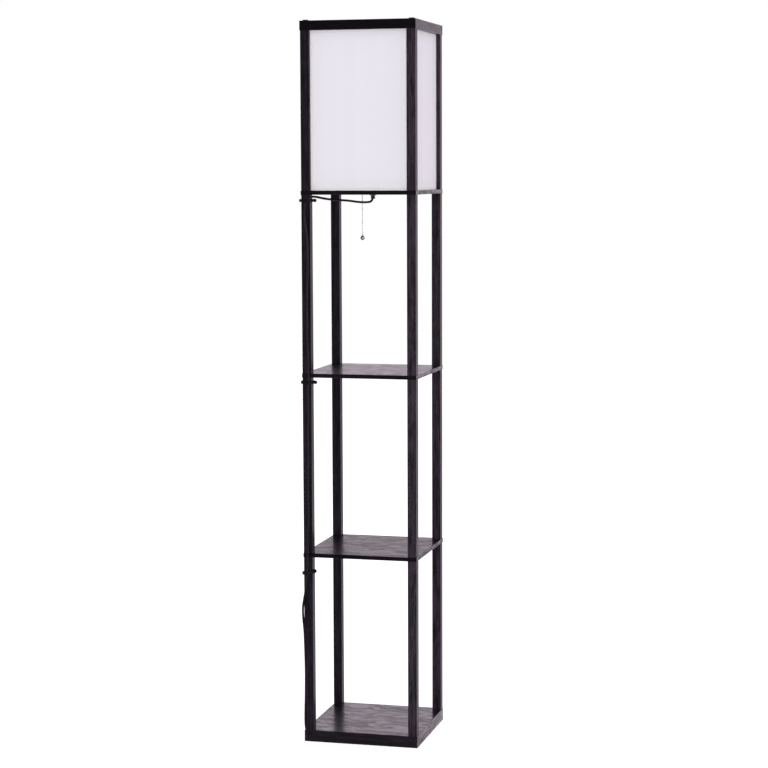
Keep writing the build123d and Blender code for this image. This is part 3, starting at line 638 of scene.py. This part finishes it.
block_top = nipple_top + 0.026
screw_pitch = 0.003629
screw_depth = 0.00085
cup_bore = 0.01335
cup_crest = cup_bore + 0.0006
cup_top = block_top + 0.022
cup_floor_in = 0.0085
cup_floor_out = 0.0128
cup_floor_top = block_top + 0.0006
cup_floor = [(cup_floor_in, block_top), (cup_floor_out, block_top),
             (cup_floor_out, cup_floor_top), (cup_floor_in, cup_floor_top)]
cup_thread = threaded(block_top, cup_top, cup_crest, screw_depth, screw_pitch, cup_bore, 96, 16, False)
piece("screw_shell_threaded", [cup_thread, turned(cup_floor, steps=96)], brass, "stand", "screw_shell",
      60)


# ------------------------------------------------------------------ Pull chain
# Nickel-plated beads of 2.6 mm on a wire, a folded clasp on the lever's eye, and a 10 mm ball. The
# three stretches hang from each other where two beads meet. The ball and the upper stretch, with
# the clasp, have a darker copy of the nickel: painted shade, for the board's shadow on the upper
# stretch and the dark room mirrored in the ball.
nickel = brushed_metal("chain_nickel", (0.93, 1.0, 0.94), 0.42, 0.05, 1400)
# Painted shade: a darker copy of the chain's nickel, for the shadow under the board and the ball's dark
# reflections.
shade_painted_nickel = brushed_metal("shade_painted_nickel", (0.38, 0.36, 0.35), 0.07, 0.03, 1400)
bead_radius = 0.0013
bead_pitch = 0.0037
wire_radius = 0.00045
swing_below_board = 0.0058
joint_half_gap = 0.0003
swing_z = board_bottom - swing_below_board
half_joint = joint_half_gap + bead_radius
top_beads = 8
drop_beads = 12
tail_beads = 11
tail_z = swing_z - 2 * half_joint - (drop_beads - 1) * bead_pitch


def bead_run(top_z, count, wire_top, wire_bottom):
    """Beads, each a half circle carried round the chain's line, on a straight wire."""
    around = np.linspace(-np.pi / 2, np.pi / 2, 13)
    skins = []
    for number in range(count):
        centre_z = top_z - number * bead_pitch
        outline = np.column_stack([bead_radius * np.cos(around), centre_z + bead_radius * np.sin(around)])
        outline[[0, -1], 0] = 0
        skins.append(turned(outline, (chain_x, 0), 20, False))
    wire = [(0, wire_bottom), (wire_radius, wire_bottom), (wire_radius, wire_top), (0, wire_top)]
    skins.append(turned(wire, (chain_x, 0), 12, False))
    return skins


plate_lip = 0.00025
plate_ease = 0.06


def plate(low, high):
    """A small plate with eased edges: a rounded outline carried through its thickness in X.

    The outline is a quarter circle of the lip's radius at each corner, drawn in a little at the
    two faces.
    """
    (x0, y0, z0), (x1, y1, z1) = low, high
    quarter = np.linspace(0, np.pi / 2, 4)
    corners = [(y1, z1, 1, 1), (y0, z1, -1, 1), (y0, z0, -1, -1), (y1, z0, 1, -1)]
    outline = []
    for number, (y, z, side_y, side_z) in enumerate(corners):
        angle = quarter + number * np.pi / 2
        corner_y = y - side_y * plate_lip + plate_lip * np.cos(angle)
        corner_z = z - side_z * plate_lip + plate_lip * np.sin(angle)
        outline.append(np.column_stack([corner_y, corner_z]))
    outline = np.vstack(outline)
    middle = outline.mean(axis=0)
    levels = [(x0, 1 - plate_ease), (x0 + plate_lip, 1), (x1 - plate_lip, 1), (x1, 1 - plate_ease)]
    grid = np.empty((len(levels), len(outline), 3))
    for row, (x, share) in enumerate(levels):
        grid[row, :, 0] = x
        grid[row, :, 1:] = middle + (outline - middle) * share
    return grid, False, True, True


lever_pin_z = 1.252
lever_reach = 0.0166
lever_lift = math.radians(12)
lever_eye_z = lever_pin_z + lever_reach * math.tan(lever_lift)
clasp_bottom = lever_eye_z - 0.0065
clasp_top = lever_eye_z + 0.002
clasp_foot = clasp_bottom + 0.0004
clasp_left = chain_x - 0.002
clasp_right = chain_x + 0.002
clasp_out = 0.0027
clasp_in = 0.0017
clasp_skins = [
    plate((clasp_left, -clasp_out, clasp_bottom), (clasp_right, clasp_out, clasp_bottom + 0.0015)),
    plate((clasp_left, clasp_in, clasp_foot), (clasp_right, clasp_out, clasp_top)),
    plate((clasp_left, -clasp_out, clasp_foot), (clasp_right, -clasp_in, clasp_top)),
]
# The clasp's pin, across the eye: circles in X and Z whose radius is smaller at the two ends.
pin_angle = np.linspace(0, 2 * np.pi, 24, endpoint=False)
pin_rows = np.array([(-0.0030, 0.0006), (-0.0029, 0.00095), (0.0029, 0.00095), (0.0030, 0.0006)])
pin_grid = np.empty((len(pin_rows), len(pin_angle), 3))
pin_grid[..., 0] = chain_x + pin_rows[:, 1:] * np.cos(pin_angle)
pin_grid[..., 1] = pin_rows[:, :1]
pin_grid[..., 2] = lever_eye_z + pin_rows[:, 1:] * np.sin(pin_angle)
clasp_skins.append((pin_grid, False, True, True))
top_bead_z = swing_z + half_joint + (top_beads - 1) * bead_pitch
piece("pull_chain_upper", clasp_skins + bead_run(top_bead_z, top_beads, clasp_bottom, swing_z + half_joint),
      shade_painted_nickel, "chain_upper", "chain_top", 50)
drop_top = swing_z - half_joint
piece("pull_chain_middle", bead_run(drop_top, drop_beads, drop_top, tail_z + half_joint),
      nickel, "chain_middle", "chain_drop", 50)
tail_top = tail_z - half_joint
last_bead = tail_top - (tail_beads - 1) * bead_pitch
piece("pull_chain_lower", bead_run(tail_top, tail_beads, tail_top, last_bead),
      nickel, "chain_lower", "chain_tail", 50)

ball_radius = 0.005
ball_neck = 0.0019
ball_neck_rise = 0.0031
ball_neck_gap = 0.0003
neck_lip = 0.0003
neck_top = last_bead - bead_radius - ball_neck_gap
ball_z = neck_top - ball_neck_rise - ball_radius
# The ball's outline is a circle up to 66 degrees above its middle, and then the neck.
ball_turn = np.linspace(-np.pi / 2, math.radians(66), 40)
ball_profile = np.vstack([
    np.column_stack([ball_radius * np.cos(ball_turn), ball_z + ball_radius * np.sin(ball_turn)]),
    [(ball_neck, ball_z + 0.0049), (ball_neck, neck_top - neck_lip), (ball_neck - neck_lip, neck_top),
     (0.0, neck_top)],
])
ball_profile[0, 0] = 0
piece("pull_ball", [turned(ball_profile, (chain_x, 0), 64, False)],
      shade_painted_nickel, "chain_lower", "chain_ball", 30)


# ------------------------------------------------------------------ Bulb
# A pear-shaped frosted glass, 60 mm across, cemented into an aluminium screw cap with a black
# glass ring and a brass tip below it.
frost_white = (0.86, 0.86, 0.87, 1)
frost_shade = (0.80, 0.80, 0.82, 1)
frost_relief = 0.00002
frosted = Finish("frosted_glass", {
    "Specular IOR Level": 0.5,
    "Subsurface Weight": 0.3,
    "Subsurface Radius": (0.004, 0.004, 0.004),
    "Subsurface Scale": 1.0,
})
frost = frosted.noise(frosted.place(), 1300, 3, 0.6)
frost_cloud = frosted.noise(frosted.place(), 40, 2, 0.5)
frosted.set({
    "Base Color": frosted.blend(frost_cloud, frost_white, frost_shade),
    "Roughness": 0.22 + frost * 0.10,
})
frosted.bump(frost, frost_relief, 0.4)

contact_rise = 0.0024
tip_gap = 0.0003
tip_z = block_top + contact_rise + tip_gap
cone_z = tip_z + 0.0012
cap_z = cone_z + 0.003
cap_end = cap_z + 0.021
bulb_length = 0.107
glass_wall = 0.0008
glass_sunk = 0.0015
crown_radius = 0.030
crown_top = tip_z + bulb_length
crown_z = crown_top - crown_radius
neck_radius = 0.0125
shoulder_angle = math.radians(35)
shoulder_pull = 0.017
neck_rise = 0.011
# The crown is a circle down to 35 degrees below its middle. From there a cubic curve, which leaves
# along the circle's tangent and arrives upright, narrows to the neck. The glass inside follows it.
crown = np.linspace(np.pi / 2, -shoulder_angle, 48)
crown_curve = np.column_stack([crown_radius * np.cos(crown), crown_z + crown_radius * np.sin(crown)])
shoulder = crown_curve[-1]
pull_in = shoulder - shoulder_pull * np.array([math.sin(shoulder_angle), math.cos(shoulder_angle)])
neck_pull = np.array([neck_radius, cap_end + neck_rise])
neck_end = np.array([neck_radius, cap_end])
along = np.linspace(0, 1, 28)[1:, None]
neck_curve = ((1 - along) ** 3 * shoulder + 3 * (1 - along) ** 2 * along * pull_in
              + 3 * (1 - along) * along ** 2 * neck_pull + along ** 3 * neck_end)
glass_out = np.vstack([crown_curve, neck_curve, [(neck_radius, cap_end - glass_sunk)]])
glass_in = glass_out[::-1].copy()
glass_in[:, 0] -= np.minimum(glass_wall, glass_in[:, 0])
glass_in[:, 1] = np.minimum(glass_in[:, 1], crown_top - glass_wall)
glass_out[0, 0] = glass_in[-1, 0] = 0
piece("bulb_pear", [turned(np.vstack([glass_out, glass_in]), steps=96, closed=False)], frosted, "bulb",
      "bulb_glass")

# The cap's paint turns from metal to black glass just below the thread.
cap_silver = (0.70, 0.70, 0.72, 1)
glass_black = (0.012, 0.010, 0.014, 1)
glass_line = (cap_z - 0.0016, cap_z - 0.0014)
cap_metal = brushed_metal("bulb_cap_metal", (0.72, 0.72, 0.74), 0.22, 0.08, 1200)
cap_height = cap_metal.node("ShaderNodeSeparateXYZ", sockets={0: cap_metal.place()}, output="Z")
above_glass = cap_height.step(*glass_line)
cap_metal.set({
    "Metallic": above_glass,
    "Base Color": cap_metal.blend(above_glass, glass_black, cap_silver),
})
cap_crest = 0.01305
cap_bore = 0.01255
thread_end = cap_end - 0.0022
cap_thread = threaded(cap_z, thread_end, cap_crest, screw_depth, screw_pitch, cap_bore, 96, 16, False)
cap_cone = [(0.0, cone_z), (0.0054, cone_z), (0.0092, cone_z + 0.0011), (0.0118, cap_z - 0.0004),
            (0.0122, cap_z + 0.0004), (0.0114, cap_z + 0.0004), (0.0, cap_z + 0.0002)]
cap_collar = [(0.0117, cap_end - 0.0024), (0.0124, cap_end - 0.0026), (0.0130, cap_end - 0.0020),
              (0.0130, cap_end - 0.0003), (0.0128, cap_end), (0.0125, cap_end), (0.0117, cap_end - 0.0004)]
piece("bulb_screw_cap", [cap_thread, turned(cap_cone, steps=96, closed=False), turned(cap_collar, steps=96)],
      cap_metal, "bulb", "bulb_cap", 50)
plated_brass = brushed_metal("plated_brass", (0.62, 0.55, 0.42), 0.24, 0.08, 900)
tip_profile = [(0.0, tip_z), (0.0028, tip_z), (0.0037, tip_z + 0.0002), (0.0042, tip_z + 0.0006),
               (0.0042, cone_z), (0.0, cone_z)]
piece("bulb_tip", [turned(tip_profile, closed=False)], plated_brass, "bulb_travel", "bulb_contact")


# ------------------------------------------------------------------ Mains cord
# Round black PVC lead, 5 mm across and 1.8 m long. It leaves the nipple, crosses under the board
# to the front left post, runs down the post inside its ties, and ends behind the base.
cord_radius = 0.0025
cord_route = np.array([
    (0.0, 0.0, 1221.4), (0.0, 0.0, 1212.9), (-3.6, -4.2, 1205.8), (-12.5, -14.5, 1204.8),
    (-25.5, -29.5, 1205.5), (-45.0, -52.0, 1209.6), (-66.0, -76.5, 1210.9), (-86.0, -101.0, 1214.5),
    (-98.0, -118.0, 1218.6), (-104.6, -131.0, 1219.0), (-111.4, -135.2, 1214.6), (-115.8, -134.0, 1206.4),
    (-119.0, -133.3, 1194.6), (-121.2, -133.2, 1178.0), (-118.2, -133.2, 1158.5), (-114.6, -133.2, 1134.0),
    (-113.4, -133.2, 1102.0), (-113.9, -133.2, 1058.0), (-115.6, -133.2, 1004.0), (-115.2, -133.2, 950.0),
    (-116.4, -133.2, 905.0), (-113.2, -133.2, 866.0), (-114.4, -133.2, 838.0), (-112.6, -133.2, 818.0),
    (-115.4, -133.2, 794.0), (-114.2, -133.2, 752.0), (-116.2, -133.2, 702.0), (-115.0, -133.2, 642.0),
    (-116.6, -133.2, 580.0), (-115.4, -133.2, 518.0), (-116.8, -133.2, 462.0), (-118.6, -133.2, 418.0),
    (-119.2, -133.3, 388.0), (-121.8, -133.1, 360.0), (-126.6, -132.9, 332.0), (-131.7, -131.8, 306.0),
    (-132.7, -125.2, 278.0), (-132.4, -116.5, 250.0), (-133.2, -109.8, 208.0), (-132.8, -107.0, 156.0),
    (-133.8, -105.8, 102.0), (-135.2, -105.4, 58.0), (-136.2, -102.0, 28.0), (-136.4, -90.0, 8.4),
    (-136.4, -72.0, 2.6), (-138.6, -44.0, 2.6), (-136.6, -6.0, 2.6), (-139.4, 34.0, 2.6),
    (-137.0, 76.0, 2.6), (-140.0, 108.0, 2.6), (-137.5, 131.5, 2.6), (-122.0, 146.5, 2.6),
    (-98.0, 150.2, 2.6), (-64.0, 146.6, 2.6), (-38.0, 148.6, 2.9), (-23.0, 148.4, 5.2),
    (-11.0, 148.4, 7.0), (0.0, 148.4, 7.0),
]) / 1000
pvc = moulded("black_pvc", (0.0030, 0.0028, 0.0032), 0.34, 380, 0.20)
cord_curve = bpy.data.curves.new("mains_cord", "CURVE")
cord_curve.dimensions = "3D"
cord_curve.bevel_depth = cord_radius
cord_curve.bevel_resolution = 4
cord_curve.use_fill_caps = True
cord_line = cord_curve.splines.new("NURBS")
cord_line.points.add(len(cord_route) - 1)
cord_line.points.foreach_set("co", np.column_stack([cord_route, np.ones(len(cord_route))]).ravel())
cord_line.order_u = 3
cord_line.use_endpoint_u = True
cord_line.resolution_u = 12
cord_curve.materials.append(pvc.material)
mains_cord = bpy.data.objects.new("mains_cord", cord_curve)
bpy.context.scene.collection.objects.link(mains_cord)
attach(mains_cord, "stand")
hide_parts("power_cord")


# ------------------------------------------------------------------ Cable ties
# Black nylon straps in nearly round loops. Each hangs on the post's two back corners and holds
# the cord to the front. Its locking head is on the outside, with the cut end sticking out.
post_centre = np.array([-0.119, -0.119])
post_corner = 0.0093
post_edge = 0.0007
corner_gap = 0.0005
cord_room = cord_radius + 0.0007
tie_thickness = 0.0013
tie_width = 0.006
tie_easing = 0.0003
tie_head = np.array([0.0046, 0.0064, 0.0070])
tie_end = np.array([0.0030, tie_thickness, 0.0048])
tie_end_shift = 0.0008


def tie_strap(circles, steps=360):
    """The strap: for each heading, the point of the circles that reaches furthest that way.

    A circle is (x, y, radius). The section, a flat strip with eased corners, stands out from there.
    """
    circles = np.array(circles)
    angle = np.linspace(0, 2 * np.pi, steps, endpoint=False)
    heading = np.column_stack([np.cos(angle), np.sin(angle)])
    furthest = np.argmax(circles[:, :2] @ heading.T + circles[:, 2:], axis=0)
    inside, outside = tie_easing, tie_thickness - tie_easing
    top, bottom = 0.5 * tie_width, -0.5 * tie_width
    section = np.array([
        (0.0, bottom + tie_easing), (inside, bottom), (outside, bottom),
        (tie_thickness, bottom + tie_easing), (tie_thickness, top - tie_easing),
        (outside, top), (inside, top), (0.0, top - tie_easing),
    ])
    reach = circles[furthest, 2][:, None] + section[None, :, 0]
    grid = np.empty((steps, len(section), 3))
    grid[..., :2] = circles[furthest, None, :2] + reach[..., None] * heading[:, None, :]
    grid[..., 2] = section[:, 1]
    return grid, True, True, False


def rounded_block(centre, size, power=6.0, rows=24, columns=36):
    """A block with soft edges: a sphere whose sines and cosines are raised to 2 / power."""
    tilt = np.linspace(-np.pi / 2, np.pi / 2, rows)[:, None]
    angle = np.linspace(0, 2 * np.pi, columns, endpoint=False)[None, :]

    def eased(value):
        return np.sign(value) * np.abs(value) ** (2 / power)

    grid = np.empty((rows, columns, 3))
    grid[..., 0] = eased(np.cos(tilt)) * eased(np.cos(angle))
    grid[..., 1] = eased(np.cos(tilt)) * eased(np.sin(angle))
    grid[..., 2] = eased(np.sin(tilt)) * np.ones_like(angle)
    grid[[0, -1], :, :2] = 0
    return grid * np.asarray(size) / 2 + np.asarray(centre), False, True, False


def cable_tie(level, height, tilt, slack, head_angle, cord_places):
    """A tie: a ring that is wider than the post's half diagonal by its slack, and bulges over the
    cord. The ring stands so far forward that it just clears the post's two back corners."""
    ring_radius = post_corner * math.sqrt(2) + post_edge + slack
    forward = math.sqrt((ring_radius - post_edge - corner_gap) ** 2 - post_corner ** 2) - post_corner
    circles = [(0.0, -forward, ring_radius)] + [(x, y, cord_room) for x, y in cord_places]
    head_x = ring_radius + tie_thickness / 2 + tie_head[0] / 2
    head = rounded_block((head_x, 0, 0), tie_head)[0]
    end = rounded_block((head_x + tie_head[0] / 2, tie_end_shift, 0), tie_end)[0]
    turn_to_side = np.array(Matrix.Rotation(math.radians(head_angle), 3, "Z"))
    lean = np.array(Matrix.Rotation(math.radians(tilt), 3, "Y"))
    ring_centre = np.array([0, -forward, 0])
    tie_centre = np.array([*post_centre, height])
    skins = [tie_strap(circles)]
    skins += [(grid @ turn_to_side.T + ring_centre, False, True, False) for grid in (head, end)]
    placed = [(grid @ lean.T + tie_centre, *closing) for grid, *closing in skins]
    return piece("strap_" + level, placed, nylon, "stand", "cable_tie_" + level, 40)


tie_upper = cable_tie("upper", 1.2106, 0.0, 0.0014, 4, [(0.0074, -0.0162), (0.0036, -0.0153)])
tie_middle = cable_tie("middle", 0.8100, 0.0, 0.0008, -6, [(0.0052, -0.0142)])
tie_lower = cable_tie("lower", 0.3840, -9.0, 0.0011, 96, [(-0.0005, -0.0144)])


# ------------------------------------------------------------------ Plug
# A moulded two-blade plug with a ribbed strain relief. It lies flat on the floor behind the base,
# with its blades pointing to the right.
plug_start = Vector(cord_route[-1])
relief_length = 0.026
plug_length = 0.031
plug_half = np.array([0.0125, 0.0070])


def along_plug(stations, half_widths, half_heights, power, columns=64):
    """Sections across the plug's axis: superellipses of the given half sizes at each station."""
    angle = np.linspace(0, 2 * np.pi, columns, endpoint=False)
    wave_y = np.sign(np.cos(angle)) * np.abs(np.cos(angle)) ** (2 / power)
    wave_z = np.sign(np.sin(angle)) * np.abs(np.sin(angle)) ** (2 / power)
    grid = np.empty((len(stations), columns, 3))
    grid[..., 0] = plug_start.x + np.asarray(stations)[:, None]
    grid[..., 1] = plug_start.y + np.asarray(half_widths)[:, None] * wave_y
    grid[..., 2] = plug_start.z + np.asarray(half_heights)[:, None] * wave_z
    return grid, False, True, True


relief_thin = 0.0033
relief_thick = 0.0056
relief_ribs = (0.0020, 0.0245)
relief_rib_pitch = 0.0036
relief_rib_depth = 0.0009
# The strain relief is a cone with grooves wherever a sine of the length is well below nought.
relief_at = np.linspace(0, relief_length, 105)
relief_taper = relief_thin + (relief_thick - relief_thin) * relief_at / relief_length
in_ribs = (relief_at > relief_ribs[0]) & (relief_at < relief_ribs[1])
relief_groove = (np.sin(2 * np.pi * relief_at / relief_rib_pitch) < -0.2) & in_ribs
relief_half = relief_taper - np.where(relief_groove, relief_rib_depth, 0.0)
relief = piece("plug_relief_ribbed", [along_plug(relief_at, relief_half, relief_half, 2.0, 40)],
               pvc, "stand", "plug_strain_relief", 30)

waist_at = 0.42
grip_reach = 0.2
grip_pitch = 0.065
grip_depth = 0.00035
# The body's two ends are quarter ellipses, its waist is a bell curve, and grooves cross the waist.
body_share = np.linspace(0, 1, 97)
body_at = relief_length + plug_length * body_share
nose = np.sqrt(np.clip(1 - (1 - np.clip(body_share / 0.14, 0, 1)) ** 2, 0, 1))
tail = np.sqrt(np.clip(1 - (1 - np.clip((1 - body_share) / 0.05, 0, 1)) ** 2, 0, 1))
waist = 1 - 0.10 * np.exp(-((body_share - waist_at) / grip_reach) ** 2)
in_grip = np.abs(body_share - waist_at) < grip_reach
grip = np.where(in_grip & (np.sin(2 * np.pi * body_share / grip_pitch) > 0), grip_depth, 0.0)
ease = 0.62 + 0.38 * nose
shut = 0.90 + 0.10 * tail
body_half_width = plug_half[0] * waist * ease * shut - grip
body_half_height = plug_half[1] * (0.5 + 0.5 * nose) * shut
plug = piece("plug_moulded", [along_plug(body_at, body_half_width, body_half_height, 5.0)],
             pvc, "stand", "plug_body", 30)

blade_root = 0.004
blade_length = 0.0175
blade_height = 0.0063
blade_thickness = 0.0015
blade_hole = 0.0016
blade_hole_from_end = 0.0042
blade_rounding = 0.0012
blade_bevel = 0.94
blade_lip = 0.0002


def blade(side_y):
    """A flat blade with a round hole: its outline and the hole's rim, joined on both faces.

    At each angle about the hole the outline is where a box's side is met, and the box's end is
    drawn back by the sixth power of the height, which rounds its two corners.
    """
    angle = np.linspace(0, 2 * np.pi, 72, endpoint=False)
    start = plug_start.x + relief_length + plug_length - blade_root
    end = plug_start.x + relief_length + plug_length + blade_length
    hole_x = end - blade_hole_from_end
    box_x = np.where(np.cos(angle) > 0, end - hole_x, hole_x - start)
    span = np.minimum(box_x / np.maximum(np.abs(np.cos(angle)), 1e-9),
                      blade_height / 2 / np.maximum(np.abs(np.sin(angle)), 1e-9))
    ring = np.column_stack([np.cos(angle), np.sin(angle)])
    outline = ring * span[:, None]
    drawn_back = blade_rounding * (np.abs(outline[:, 1]) / (blade_height / 2)) ** 6
    outline[:, 0] = np.minimum(outline[:, 0], (end - hole_x) - drawn_back)
    hole_rim = ring * blade_hole
    half = blade_thickness / 2
    rows = [
        (outline * blade_bevel, -half), (outline, -half + blade_lip),
        (outline, half - blade_lip), (outline * blade_bevel, half),
        (hole_rim, half), (hole_rim, -half),
    ]
    grid = np.empty((len(rows), len(angle), 3))
    for row, (flat, side) in enumerate(rows):
        grid[row, :, 0] = hole_x + flat[:, 0]
        grid[row, :, 1] = plug_start.y + side_y + side
        grid[row, :, 2] = plug_start.z + flat[:, 1]
    return grid, True, True, False


blade_offset = 0.00635
blades = piece("plug_blade_pair", [blade(-blade_offset), blade(blade_offset)],
               plated_brass, "stand", "plug_blades", 30)
